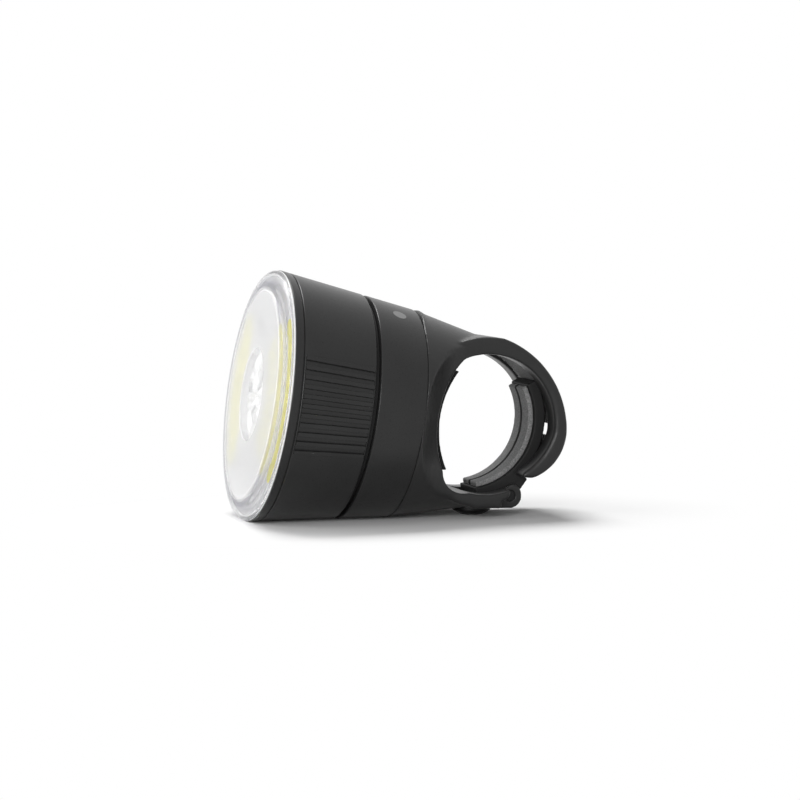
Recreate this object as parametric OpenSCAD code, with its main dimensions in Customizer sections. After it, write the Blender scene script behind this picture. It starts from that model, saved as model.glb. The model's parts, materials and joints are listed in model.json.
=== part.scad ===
// Bike headlight on a handlebar clamp, at rest on its lens rim and on the clamp's screw head.
// The handlebar runs along X through the origin. The beam points along -Y, tipped up by the resting tilt.
// Head and dock shapes are drawn round the beam axis, with their heights counted forward from the bar.
// Clamp shapes are drawn in side view, with y backward along the beam axis and z away from it.

/* [Light head] */
// Diameter of the lens rim, the widest part of the light
rim_d = 62; // [58:0.5:70]
// Height of the lens in front of its white rim
lens_h = 2.5; // [2.2:0.1:5]
// Width of the rounded shoulder of the lens
shoulder_w = 4; // [2.5:0.1:6]
// Wall of the lens
lens_wall = 1.6; // [1:0.1:2.2]
// Thickness of the white rim behind the lens
rim_line = 0.4; // [0.3:0.1:1.2]
// Length of the bezel ring
bezel_len = 2.3; // [1.6:0.1:4]
// Length of the head casing
shell_len = 18.5; // [18:0.1:26]
// Wall of the head casing
shell_wall = 2; // [1.6:0.1:2.4]
// Width of the recessed gap between head and dock
gap_len = 1.3; // [1:0.1:2]
// Depth of the recessed gap
gap_depth = 1.3; // [0.6:0.1:2]
// Width of the seams between casings
seam_w = 0.25; // [0.1:0.05:0.5]
// Depth of the seams between casings
seam_depth = 0.45; // [0.2:0.05:0.8]

/* [Grip ribs] */
// Ribs in one row
rib_count = 11; // [5:1:15]
// Angle between neighbouring ribs
rib_pitch = 4.3; // [3:0.1:6]
// Width of one rib
rib_w = 1.2; // [0.6:0.1:1.6]
// Height of one rib above the casing
rib_h = 0.4; // [0.2:0.05:0.8]
// Length of casing left bare at each end of a rib
rib_margin = 0.6; // [0.4:0.1:3]

/* [Optics] */
// Inner diameter of the two phosphor strips
cob_d = 30; // [28:0.5:36]
// Angle that each phosphor strip reaches up and down from the side
cob_span = 48; // [30:1:70]
// Height of the phosphor strips
cob_t = 3; // [1:0.1:4]
// Diameter of the centre optic
optic_d = 23; // [16:0.5:26]
// Diameter of the small end of the centre optic
optic_foot_d = 10; // [8:0.1:14]
// Thickness of the circuit boards
board_t = 1.1; // [0.8:0.1:1.6]

/* [Inside the head] */
// Thickness of the heat sink
sink_t = 2; // [1.5:0.1:2.5]
// Diameter of the battery
battery_d = 39; // [30:0.5:40]
// Thickness of the battery
battery_t = 4.2; // [3:0.1:4.6]
// Thickness of the wall at the back of the head
bulkhead_t = 2.5; // [2:0.1:3]

/* [Dock] */
// Diameter of the dock where it meets the clamp base
dock_d = 52; // [50:0.5:54]
// Length of the dock
dock_len = 12.2; // [11:0.1:16]
// Thickness of the dock's floor
dock_floor = 2.6; // [2.2:0.1:3.2]
// Diameter of the index dot
dot_d = 3.4; // [2:0.1:5]
// Turn of the index dot from the top
dot_turn = 25.5; // [0:0.5:60]

/* [Plug] */
// Diameter of the plug that slides into the dock
plug_d = 44; // [40:0.5:45]
// Wall of the plug
plug_wall = 2; // [1.6:0.1:2.4]
// Clearance between plug and dock
plug_clearance = 0.3; // [0.2:0.05:0.5]
// Diameter of the hub that the head turns on
hub_d = 20; // [16:0.5:24]
// Running clearance of the hub
hub_clearance = 0.05; // [0.02:0.01:0.1]
// Diameter of a holding magnet
magnet_d = 6; // [4:0.1:8]
// Thickness of a holding magnet
magnet_t = 2; // [1.5:0.1:2.2]

/* [Clamp] */
// Diameter of the handlebar that the saddle is cut to
bar_d = 25.4; // [22.2:0.1:25.4]
// Distance from the bar's axis to the back of the dock
base_len = 19.7; // [18:0.1:26]
// Taper of the clamp base, half angle
base_taper = 13; // [9:0.5:16]
// Width of the ring and the lower arm
clamp_w = 28; // [26:0.5:30]
// Outer radius of the ring
ring_r = 24.5; // [24.2:0.1:25.5]
// Radius of the eye
eye_r = 17.3; // [16.8:0.1:17.5]
// Distance from the bar's axis to the back wall of the saddle
saddle_depth = 14.1; // [13.9:0.1:15]
// Radius of the back wall of the saddle
saddle_r = 22; // [21:0.5:28]
// Width of the saddle pad
saddle_pad_w = 26; // [16:0.5:27]
// Width of the centre rib of the saddle pad
saddle_rib_w = 8; // [6:0.5:12]

/* [Strap] */
// Wall of the strap between its two edges
strap_wall = 2; // [1.6:0.1:2.4]
// Radius of the rounded tail
tail_r = 12.7; // [12.2:0.1:13.2]
// Angle where the tail leaves the ring
tail_turn = 10.5; // [5:0.5:15]
// Width of the slot in the strap
slot_w = 13; // [6:0.5:13]
// Height of the slot in the strap
slot_h = 2.8; // [2:0.1:4]
// Gap between the strap's root and the clamp base
root_gap = 0.2; // [0.1:0.05:0.4]

/* [Jaw] */
// Radius of the gripping face of the jaw pads
jaw_r = 16.2; // [16.1:0.05:16.4]
// Thickness of the jaw pads
jaw_pad_t = 1.3; // [0.8:0.1:1.5]
// Thickness of the jaw carrier
jaw_t = 2.8; // [2:0.1:3]
// Width of the jaw carrier
jaw_w = 13.6; // [11:0.1:15]
// Width of one edge of the carrier beside the pads
jaw_edge = 1; // [0.4:0.1:1.5]
// Groove between the two pads
pad_groove = 0.7; // [0.4:0.1:1.5]
// Gap on each side of the jaw
jaw_side_gap = 0.4; // [0.3:0.05:0.8]

/* [Hinge and screw] */
// Diameter of the hinge pin
pin_d = 2.6; // [2:0.1:2.7]
// Running clearance of the hinge pin
pin_clearance = 0.05; // [0.02:0.01:0.1]
// Width over the two hinge cheeks
hinge_w = 18; // [17:0.5:20]
// Radius of the rounded ends of the hinge cheeks
cheek_r = 3.1; // [3:0.1:3.4]
// Radius of the rounded ends of the lower arm, in front of the cheeks
arm_end_r = 2.2; // [1.8:0.1:2.3]
// Radius of the jaw's knuckle
knuckle_r = 2.7; // [2.4:0.05:2.75]
// Slope of the lower arm against the beam axis
arm_slope = 7.5; // [5:0.5:10]
// Diameter of the clamp screw's thread
screw_d = 4; // [3:0.1:4.2]
// Diameter of the clamp screw's head
screw_head_d = 9.5; // [7:0.1:10]
// Height of the clamp screw's head
screw_head_h = 2.15; // [1.8:0.05:3]

/* [Hidden] */
$fn = 72;

// Small clearance between pieces that are fixed together
fit = 0.05;
// Overlap of cutting shapes past the surface they cut
cut = 1;

// Stations along the beam, counted forward from the bar
dock_front = base_len + dock_len;
shell_back = dock_front + gap_len;
shell_front = shell_back + shell_len;
rim_at = shell_front + bezel_len;
lens_back = rim_at + rim_line;
lens_front = lens_back + lens_h;

// Radii of the head
rim_r = rim_d / 2;
cone_slope = (rim_d - dock_d) / 2 / (rim_at - base_len);
function cone_r(at) = dock_d / 2 + (at - base_len) * cone_slope;
lens_r = rim_r - 0.15;
shell_in = cone_r(shell_front) - shell_wall;

// Stack inside the head, from the back wall forward
lip_t = 1;
lip_w = 2;
bulkhead_back = shell_back + lip_t;
bulkhead_front = bulkhead_back + bulkhead_t;
ring_t = 0.9;
ring_play = 0.2;
hub_end = bulkhead_front + ring_play + ring_t + 0.5;
cradle_back = hub_end + 0.4;
cradle_t = 1;
cradle_wall = 1;
cell_back = cradle_back + cradle_t;
cradle_front = cell_back + battery_t + 0.4;
control_front = cradle_front + board_t;
sink_back = control_front + 0.7;
sink_front = sink_back + sink_t;
board_front = sink_front + board_t;
ledge_t = 1;
ledge_w = 2;
sink_r = cone_r(sink_back) - shell_wall - 0.4;
sink_rim = 1.1;
led_board_r = sink_r - sink_rim - 0.25;
skirt_back = board_front + 0.5;
skirt_r = cone_r(skirt_back) - shell_wall - 0.1;
skirt_t = 0.9;
cradle_r = cone_r(cradle_back) - shell_wall - 1.2;
case_screw_at = cradle_r - 1.6;
case_screw_r = 1;
case_head_r = 1.7;
case_head_h = 1.4;
boss_r = 2.2;

// Optics
cob_gap = 0.5;
cob_edge = 0.4;
cob_front = lens_front - lens_wall - cob_gap;
cob_back = cob_front - cob_t;
optic_back = board_front + 1.4;
optic_rim = 0.9;
optic_front = lens_front - lens_wall - 0.1;
optic_leg_r = 0.8;
led_w = 5;
led_t = 0.8;
led_dome_r = 1.8;
tray_r = lens_r - 3.5;
tray_foot_r = led_board_r - 1.7;
tray_wall = 0.8;

// Plug and dock
plug_r = plug_d / 2;
hub_r = hub_d / 2;
neck_back = dock_front + 0.1;
neck_front = shell_back - 0.2;
neck_r = cone_r(dock_front) - gap_depth;
wire_r = 4;
plate_t = 0.9;
plate_r = 13;
plug_back = base_len + dock_floor + plate_t + 0.3;
plug_floor = magnet_t + 0.5;
port_front = neck_back - 0.9;
port_back = port_front - board_t;
board_step = 1.2;
key_w = 4;
key_h = 1.2;
magnet_count = 4;
magnet_at = 11.5;
port_w = 9;
port_h = 3.2;
port_gap = 0.2;
seal_r = 0.6;
groove_r = hub_r - 2 * seal_r - fit;
dock_screw_count = 4;
dock_screw_at = 17.5;
dock_screw_r = 1.5;
dock_screw_len = 6;
dock_head_r = 2.7;
dock_head_h = 1.6;
dot_at = base_len + dock_len / 2 - 0.4;
dot_t = 0.8;

// Clamp, in side view
bar_r = bar_d / 2;
eye_c = [0.1, 0.4];
corner_c = eye_c + [-4.3, -11.5];
corner_r = 6.05;
ring_shift = [-0.4722, -0.3403];
ring_c = eye_c + (ring_r - eye_r) * ring_shift;
brow_c = [-0.3, 1.4];
brow_inset = 0.09;
chin_c = [0.1, 0.3];
ring_from = -14.7;
saddle_c = [saddle_r - saddle_depth, 0.5];
root_y = 0.9;
slot_z = 0.8;
strap_from = 120;
strap_shift = [0.6, 2.8];
strap_draw = 0.4;
tail_c = ring_c + (ring_r - tail_r) * [cos(tail_turn), sin(tail_turn)];
tail_end = tail_c + [2.4, -11.5];
tail_cut = -17;
tail_trim = 2;
tail_open = -6;
root_z = ring_c[1] + sqrt(pow(ring_r, 2) - pow(root_y - ring_c[0], 2));
brow_r = root_z - brow_c[1] - brow_inset;
flare_end = -5.7;
flare_power = 1.8;
base_r = dock_d / 2 - seam_depth;
flare_steps = 12;
pad_lip = 1.25;
pad_depth = 1.4;
pad_top = 12.6;
pad_bottom = -12;
rib_turn = 58;
rib_face_r = bar_r + fit;

// Hinge and screw
pin_p = [9.86, -16.6];
pin_r = pin_d / 2;
arm_len = 11;
arm_inset = 0.05;
arm_lift = 0.5;
arm_h = 8;
arm_end = [-3.55, 1.4];
screw_at = -7.32;
arm_floor = 1.1;
nut_t = 0.8;
nut_w = 5.7;
nut_len = 9;
pocket_len = 11.4;
slot_from = -2.5;
pocket_w = jaw_w + 2 * jaw_side_gap;
socket_d = 2.9;
socket_h = 1.4;
screw_foot_y = pin_p[0] + screw_at * cos(arm_slope) + (cheek_r + screw_head_h) * sin(arm_slope);
screw_foot_z = pin_p[1] + screw_at * sin(arm_slope) - (cheek_r + screw_head_h) * cos(arm_slope);

// Jaw, as an arc round its own centre
jaw_c = [-3.2, 1.1];
jaw_out = jaw_r + jaw_pad_t + jaw_t;
jaw_low = -75;
jaw_high = 35.5;
jaw_back_gap = 0.4;
lug_low = -62;
lug_high = -38;
lug_back = [[4.8, 4.6], [3.3, 1.8]];
lug_foot = [0.5, -2];
lug_inset = 0.4;
pad_low = -73;
pad_high = 34.6;

// The part rests on the lens rim and on the screw head, and this is the tilt that makes them level
beam_tilt = atan2(screw_foot_z + rim_r, screw_foot_y + rim_at);

// Points along an arc, for outlines
function arc(c, r, from, to, steps = 10) =
    [for (i = [0:steps]) c + r * [cos(from + (to - from) * i / steps), sin(from + (to - from) * i / steps)]];

// Lays a shape drawn up the Z axis onto the beam axis
module on_beam() {
    rotate([90 - beam_tilt, 0, 0]) children();
}

// Tips a clamp shape to the resting tilt
module on_clamp() {
    rotate([-beam_tilt, 0, 0]) children();
}

// Extrudes a side view across the width
module across(w) {
    rotate([90, 0, 90]) linear_extrude(w, center = true) children();
}

// A ring or disc from its inner and outer radius and its two stations
module band(r_in, r_out, from, to) {
    rotate_extrude() polygon([[r_in, from], [r_out, from], [r_out, to], [r_in, to]]);
}

// A round rod or hole between two stations
module rod(r, from, to) {
    translate([0, 0, from]) cylinder(r = r, h = to - from);
}

// Copies a shape round the beam axis
module around(count, turn = 0) {
    for (i = [0:count - 1]) rotate([0, 0, turn + i * 360 / count]) children();
}

// A wedge of an arc in side view, for cutting it to length
module sector(c, r, from, to) {
    polygon(concat([c], arc(c, r, from, to, 12)));
}

// Frame of the lower arm: origin on its underside below the hinge, y along it, z through it
module at_arm() {
    translate([0, pin_p[0], pin_p[1]]) rotate([arm_slope, 0, 0]) translate([0, 0, -cheek_r]) children();
}

// Clear lens with a rounded shoulder
module lens_cover() {
    face_r = lens_r - shoulder_w;
    lip = 0.1;
    drop = lens_h - lip;
    in_w = shoulder_w - lens_wall;
    in_drop = lens_h - lens_wall;
    outside = [for (a = [0:9:90]) [face_r + shoulder_w * cos(a), lens_back + lip + drop * sin(a)]];
    inside = [for (a = [90:-9:0]) [face_r + in_w * cos(a), lens_back + in_drop * sin(a)]];
    color("lavender", 0.4) on_beam() rotate_extrude() polygon(concat(
        [[lens_r, lens_back]], outside, [[0, lens_front], [0, lens_front - lens_wall]], inside
    ));
}

// White tray whose flange shows as a rim behind the lens
module reflector() {
    color("white") on_beam() rotate_extrude() polygon([
        [lens_r, rim_at], [lens_r, lens_back], [tray_r, lens_back], [tray_foot_r, board_front],
        [tray_foot_r + tray_wall, board_front], [tray_r + tray_wall, rim_at]
    ]);
}

// Keeps the left and right parts of a round shape
module at_sides(span) {
    intersection() {
        children();
        for (turn = [0, 180]) rotate([0, 0, turn]) linear_extrude(lens_front) sector([0, 0], rim_r, -span, span);
    }
}

// Two phosphor strips on the board's plinths, close behind the lens
module cob_strips() {
    color("khaki") on_beam() at_sides(cob_span) rotate_extrude() polygon([
        [cob_d / 2, cob_back], [tray_foot_r - cob_gap, cob_back], [tray_r - cob_gap, cob_front - cob_edge],
        [tray_r - cob_gap, cob_front], [cob_d / 2, cob_front]
    ]);
}

// Clear centre optic that stands on three legs over the centre emitter
module collimator() {
    r = optic_d / 2;
    pocket_r = led_dome_r + 0.8;
    color("aliceblue", 0.5) on_beam() difference() {
        union() {
            rotate_extrude() polygon([
                [0, optic_back], [optic_foot_d / 2, optic_back], [r, optic_front - optic_rim],
                [r, optic_front], [0, optic_front]
            ]);
            around(3) translate([r - optic_leg_r, 0, 0])
                rod(optic_leg_r, board_front, optic_front - optic_rim / 2);
        }
        rod(pocket_r, optic_back - cut, optic_back + 2);
    }
}

// Centre emitter with its dome
module spot_led() {
    color("gold") on_beam() union() {
        translate([-led_w / 2, -led_w / 2, board_front]) cube([led_w, led_w, led_t]);
        translate([0, 0, board_front + led_t - 0.3]) intersection() {
            sphere(led_dome_r);
            rod(led_dome_r + cut, 0, led_dome_r + cut);
        }
    }
}

// Round board of the emitters, with plinths that lift the phosphor strips to the lens
module led_board() {
    color("whitesmoke") on_beam() union() {
        rod(led_board_r, sink_front, board_front);
        at_sides(cob_span) band(cob_d / 2, tray_foot_r - cob_gap, sink_front + board_t / 2, cob_back);
    }
}

// Heat sink with a rim round the board
module heat_sink() {
    color("silver") on_beam() union() {
        rod(sink_r, sink_back, sink_front);
        band(sink_r - sink_rim, sink_r, sink_front - cut, skirt_back - 0.1);
    }
}

// Bezel ring with a skirt inside the casing
module bezel() {
    seat_r = cone_r(shell_front) - seam_depth;
    hole_r = tray_r + tray_wall + 0.2;
    color("#1c1d1f") on_beam() rotate_extrude() polygon([
        [seat_r, shell_front], [seat_r, shell_front + seam_w],
        [cone_r(shell_front + seam_w), shell_front + seam_w], [rim_r, rim_at], [hole_r, rim_at],
        [skirt_r - skirt_t, shell_front], [skirt_r - skirt_t, skirt_back],
        [skirt_r, skirt_back], [skirt_r, shell_front]
    ]);
}

// Place of the seal in the front face of the casing
seal_at = (shell_in + cone_r(shell_front) - seam_depth) / 2;
lens_seal_r = 0.4;

// Seal between bezel and casing
module lens_seal() {
    color("dimgray") on_beam() translate([0, 0, shell_front - lens_seal_r]) rotate_extrude()
        translate([seal_at, 0]) circle(lens_seal_r);
}

// Tapered head casing with a row of grip ribs on each side
module body_shell() {
    rib_back = shell_back + rib_margin;
    rib_front = shell_front - rib_margin;
    rib_len = (rib_front - rib_back) / cos(atan(cone_slope));
    lip_r = cone_r(shell_back) - shell_wall - lip_w;
    ledge_r = cone_r(sink_back) - shell_wall;
    seal_back = shell_front - 2 * lens_seal_r - fit;
    color("#202124") on_beam() difference() {
        union() {
            rotate_extrude() polygon([
                [lip_r, shell_back], [cone_r(shell_back), shell_back], [cone_r(shell_front), shell_front],
                [shell_in, shell_front], [ledge_r, sink_back], [ledge_r - ledge_w, sink_back],
                [ledge_r - ledge_w, sink_back - ledge_t], [ledge_r, sink_back - ledge_t - ledge_w],
                [cone_r(bulkhead_back) - shell_wall, bulkhead_back], [lip_r, bulkhead_back]
            ]);
            for (side = [0, 180], i = [0:rib_count - 1])
                rotate([0, 0, side + (i - (rib_count - 1) / 2) * rib_pitch])
                    translate([cone_r(rib_back), 0, rib_back]) rotate([0, atan(cone_slope), 0])
                        translate([-shell_wall / 2, -rib_w / 2, 0])
                            cube([shell_wall / 2 + rib_h, rib_w, rib_len]);
        }
        band(seal_at - lens_seal_r - fit, seal_at + lens_seal_r + fit, seal_back, shell_front + cut);
    }
}

// Driver and charger board
module control_board() {
    color("seagreen") on_beam() difference() {
        rod(battery_d / 2 + cradle_wall + 2, cradle_front, control_front);
        rod(wire_r, cradle_front - cut, control_front + cut);
    }
}

// Round battery cell
module battery() {
    color("steelblue") on_beam() rod(battery_d / 2, cell_back, cell_back + battery_t);
}

// Tray that holds the battery over the back wall
module battery_cradle() {
    in_r = battery_d / 2 + 0.2;
    color("#3a3b3d") on_beam() difference() {
        union() {
            rod(cradle_r, cradle_back, cell_back);
            band(in_r, in_r + cradle_wall, cell_back - cut / 2, cradle_front);
        }
        around(3, 90) translate([case_screw_at, 0, 0]) {
            rod(case_screw_r + fit, cradle_back - cut, cell_back + cut);
            rod(case_head_r + 0.3, cell_back + fit, cradle_front + cut);
        }
        rod(wire_r, cradle_back - cut, cell_back + cut);
    }
}

// Three screws that hold the cradle to the back wall
module case_screws() {
    color("darkgray") on_beam() around(3, 90) translate([case_screw_at, 0, 0]) union() {
        rod(case_head_r, cell_back, cell_back + case_head_h);
        rod(case_screw_r, bulkhead_back + 1, cell_back + cut / 2);
    }
}

// Back wall of the head, with the bearing for the plug's hub
module rear_bulkhead() {
    wall_r = cone_r(bulkhead_back) - shell_wall - 0.15;
    color("#303134") on_beam() difference() {
        union() {
            rod(wall_r, bulkhead_back, bulkhead_front);
            around(3, 90) translate([case_screw_at, 0, 0]) rod(boss_r, bulkhead_front - cut, cradle_back);
        }
        rod(hub_r + hub_clearance, bulkhead_back - cut, bulkhead_front + cut);
        around(3, 90) translate([case_screw_at, 0, 0])
            rod(case_screw_r + fit, bulkhead_back + 0.9, cradle_back + cut);
    }
}

// Neck seen in the gap, with the hub that the head turns on
module plug_neck() {
    ring_groove = bulkhead_front + ring_play - fit;
    seal_mid = (bulkhead_back + bulkhead_front) / 2;
    collar_r = plug_r - plug_wall - fit;
    color("#151617") on_beam() difference() {
        union() {
            rod(neck_r, neck_back, neck_front);
            rod(hub_r, neck_front - cut / 2, hub_end);
            band(collar_r - 2.5, collar_r, port_front + fit, neck_back + cut / 2);
        }
        rod(wire_r, port_front - cut, hub_end + cut);
        band(groove_r, hub_r + cut, ring_groove, ring_groove + ring_t + 2 * fit);
        band(groove_r, hub_r + cut, seal_mid - seal_r - fit, seal_mid + seal_r + fit);
    }
}

// Plug that slides into the dock, with a key at the top
module plug_cup() {
    step_r = plug_r - plug_wall - board_step;
    color("#2a2b2d") on_beam() difference() {
        union() {
            rod(plug_r, plug_back, neck_back);
            translate([-key_w / 2, plug_r - cut, plug_back])
                cube([key_w, cut + key_h, neck_back - plug_back]);
        }
        rod(step_r, plug_back + plug_floor, neck_back + cut);
        rod(plug_r - plug_wall, port_back, neck_back + cut);
        around(magnet_count, 45) translate([magnet_at, 0, 0])
            rod(magnet_d / 2 + fit, plug_back - cut, plug_back + magnet_t);
        translate([-port_w / 2 - port_gap, -port_h / 2 - port_gap, plug_back - cut])
            cube([port_w + 2 * port_gap, port_h + 2 * port_gap, plug_floor + 2 * cut]);
    }
}

// Seal on the hub
module plug_seal() {
    color("dimgray") on_beam() translate([0, 0, (bulkhead_back + bulkhead_front) / 2]) rotate_extrude()
        translate([hub_r - seal_r, 0]) circle(seal_r);
}

// Ring that keeps the hub in the head
module retaining_ring() {
    color("lightsteelblue") on_beam()
        band(groove_r + fit, hub_r + 3, bulkhead_front + ring_play, bulkhead_front + ring_play + ring_t);
}

// Magnets in the back of the plug
module plug_magnets() {
    color("silver") on_beam() around(magnet_count, 45) translate([magnet_at, 0, 0])
        rod(magnet_d / 2, plug_back, plug_back + magnet_t);
}

// Charging socket that opens through the back of the plug
module charge_port() {
    wall = 0.4;
    color("gainsboro") on_beam() difference() {
        translate([-port_w / 2, -port_h / 2, plug_back + 0.2])
            cube([port_w, port_h, port_back - plug_back - 0.2]);
        translate([-port_w / 2 + wall, -port_h / 2 + wall, plug_back - cut])
            cube([port_w - 2 * wall, port_h - 2 * wall, cut + plug_floor + 2]);
    }
}

// Board that carries the charging socket
module port_board() {
    color("seagreen") on_beam() difference() {
        rod(plug_r - plug_wall - fit, port_back, port_front);
        translate([0, port_h + wire_r, 0]) rod(wire_r / 2, port_back - cut, port_front + cut);
    }
}

// Dock ring with a keyed socket
module dock_cup() {
    floor_front = base_len + dock_floor;
    bore_r = plug_r + plug_clearance;
    color("#202124") on_beam() difference() {
        rotate_extrude() polygon([
            [0, base_len], [cone_r(base_len), base_len], [cone_r(dock_front), dock_front],
            [bore_r, dock_front], [bore_r, floor_front], [0, floor_front]
        ]);
        translate([-key_w / 2 - plug_clearance, bore_r - cut, floor_front])
            cube([key_w + 2 * plug_clearance, cut + key_h, dock_len]);
        around(dock_screw_count, 45) translate([dock_screw_at, 0, 0]) {
            rod(dock_screw_r + fit, base_len - cut, floor_front + cut);
            rod(dock_head_r + fit, floor_front - dock_head_h - fit, floor_front + cut);
        }
        at_dot() rod(dot_d / 2 + fit, -dot_t, cut);
    }
}

// Place of the index dot, square to the dock's surface
module at_dot() {
    rotate([0, 0, 90 - dot_turn]) translate([cone_r(dot_at), 0, dot_at])
        rotate([0, 90 + atan(cone_slope), 0]) children();
}

// Light grey index dot
module index_dot() {
    color("silver") on_beam() at_dot() rod(dot_d / 2, -dot_t, 0);
}

// Steel plate that the magnets pull on
module dock_plate() {
    color("lightsteelblue") on_beam() difference() {
        rod(plate_r + 1.5, base_len + dock_floor, base_len + dock_floor + plate_t);
        rod(port_w / 2 + 1, base_len + dock_floor - cut, base_len + dock_floor + plate_t + cut);
    }
}

// Screws between dock and clamp base
module dock_screws() {
    head_back = base_len + dock_floor - dock_head_h;
    color("darkgray") on_beam() around(dock_screw_count, 45) translate([dock_screw_at, 0, 0]) union() {
        rod(dock_head_r, head_back, base_len + dock_floor);
        rod(dock_screw_r, base_len - dock_screw_len, head_back + cut / 2);
    }
}

// Half width of the clamp base at a place along the beam, from the round dock to the flat ring
function base_half(y) =
    clamp_w / 2 + (dock_d - clamp_w) / 2 * pow(max(0, flare_end - y) / (base_len + flare_end), flare_power);

// Side view of the eye
module eye_2d() {
    intersection() {
        translate(eye_c) circle(eye_r);
        translate(saddle_c) circle(saddle_r);
    }
    translate(corner_c) circle(corner_r);
}

// Tapered base that narrows from the round dock to the width of the ring
module flared_base() {
    tip_r = dock_d / 2 - (base_len + root_y) * tan(base_taper);
    steps = [for (i = [0:flare_steps]) -base_len + (base_len + flare_end) * i / flare_steps];
    right = [for (y = steps) [base_half(y), y]];
    left = [for (i = [flare_steps:-1:0]) [-base_half(steps[i]), steps[i]]];
    tip = root_y - root_gap;
    intersection() {
        rotate([90, 0, 0]) rotate_extrude() polygon([
            [0, base_len], [base_r, base_len], [base_r, base_len - seam_w], [dock_d / 2, base_len - seam_w],
            [tip_r, -root_y], [0, -root_y]
        ]);
        linear_extrude(2 * dock_d, center = true) polygon(concat(
            right, [[clamp_w / 2, tip], [-clamp_w / 2, tip]], left
        ));
    }
}

// Side view of the ring in front of the strap's root, with the lower arm and its rounded end
module ring_front_2d() {
    intersection() {
        union() {
            translate(brow_c) circle(brow_r);
            translate(chin_c) circle(brow_r);
        }
        translate([ring_from, -2 * ring_r]) square([root_y - root_gap - ring_from, 4 * ring_r]);
    }
    translate(pin_p) rotate(arm_slope) {
        translate([-arm_len, arm_lift - cheek_r]) square([arm_len + arm_end[0], arm_h]);
        translate(arm_end) circle(arm_end_r);
    }
}

// Side view of a hinge cheek with the part of the lower arm that carries it
module cheek_2d() {
    translate(pin_p) rotate(arm_slope) {
        translate([-arm_len, arm_inset - cheek_r]) square([arm_len, cheek_r]);
        circle(cheek_r);
    }
}

// Casing from the dock to the saddle, with the lower arm and the two hinge cheeks
module clamp_base() {
    color("#222326") on_clamp() difference() {
        union() {
            flared_base();
            across(clamp_w) ring_front_2d();
            across(hinge_w) cheek_2d();
        }
        across(3 * clamp_w) eye_2d();
        across(saddle_pad_w + 2 * fit) saddle_seat_2d(pad_depth + fit, fit);
        at_arm() translate([-pocket_w / 2, -pocket_len, arm_floor]) cube([pocket_w, 2 * pocket_len, arm_h]);
        at_arm() translate([-pocket_w / 2, slot_from, -cut]) cube([pocket_w, pocket_len, arm_h]);
        at_arm() translate([0, screw_at, 0]) {
            rod(screw_d / 2 + fit, -cut, arm_h);
            rod(screw_head_d / 2 + 0.3, -arm_h, 0);
        }
        translate([0, pin_p[0], pin_p[1]]) rotate([0, 90, 0])
            cylinder(r = pin_r + fit, h = hinge_w + 0.1, center = true);
        rotate([90, 0, 0]) around(dock_screw_count, 45) translate([dock_screw_at, 0, 0])
            rod(dock_screw_r + fit, base_len - dock_screw_len - 0.5, base_len + cut);
    }
}

// Side view of the saddle pad's seat, a shallow band along the back wall of the eye
module saddle_seat_2d(depth, ease_by) {
    height = pad_top - pad_bottom + 2 * ease_by;
    intersection() {
        translate([-saddle_depth - depth - cut, pad_bottom - ease_by]) square([saddle_depth, height]);
        difference() {
            translate(saddle_c) circle(saddle_r + depth);
            translate(saddle_c) circle(saddle_r - pad_lip);
        }
    }
}

// Rubber pad with a centre rib that is cut to the bar
module saddle_pad() {
    color("#2b2b2d") on_clamp() union() {
        across(saddle_pad_w) saddle_seat_2d(pad_depth, 0);
        across(saddle_rib_w) difference() {
            intersection() {
                sector([0, 0], 3 * bar_r, 180 - rib_turn, 180 + rib_turn);
                translate(saddle_c) circle(saddle_r + pad_depth / 2);
                translate([-2 * bar_r, pad_bottom]) square([2 * bar_r, pad_top - pad_bottom]);
            }
            circle(rib_face_r);
        }
    }
}

// Pin through the cheeks and the jaw's knuckle
module hinge_pin() {
    color("silver") on_clamp() translate([0, pin_p[0], pin_p[1]]) rotate([0, 90, 0])
        cylinder(r = pin_r, h = hinge_w - 0.4, center = true);
}

// Button-head screw under the lower arm
module clamp_screw() {
    dome_r = (pow(screw_head_d / 2, 2) + pow(screw_head_h, 2)) / 2 / screw_head_h * 1.25;
    color("#303134") on_clamp() at_arm() translate([0, screw_at, 0]) difference() {
        union() {
            intersection() {
                rod(screw_head_d / 2, -screw_head_h, 0);
                translate([0, 0, dome_r - screw_head_h * 1.2]) sphere(dome_r);
            }
            rod(screw_d / 2, -screw_head_h / 2, arm_floor + nut_t);
        }
        translate([0, 0, -screw_head_h - cut]) cylinder(d = socket_d / cos(30), h = socket_h + cut, $fn = 6);
    }
}

// Plate nut in the pocket of the lower arm
module clamp_nut() {
    color("silver") on_clamp() at_arm() difference() {
        translate([-nut_len / 2, screw_at - nut_w / 2, arm_floor]) cube([nut_len, nut_w, nut_t]);
        translate([0, screw_at, 0]) rod(screw_d / 2 + fit, arm_floor - cut, arm_floor + nut_t + cut);
    }
}

// Side view of the strap: the ring behind its root, with a rounded tail
module strap_outer_2d(inset) {
    intersection() {
        union() {
            intersection() {
                translate(ring_c) circle(ring_r - inset);
                sector(ring_c, 3 * ring_r, tail_turn, strap_from);
            }
            translate(tail_c) circle(tail_r - inset);
        }
        translate([root_y, -2 * ring_r]) square([2 * ring_r, 4 * ring_r]);
    }
}

// Side view of the space inside the strap's edges, drawn in closer at the tail
module strap_inner_2d() {
    intersection() {
        translate(eye_c) circle(eye_r);
        translate(eye_c + strap_shift) circle(eye_r - strap_draw);
    }
}

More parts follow.
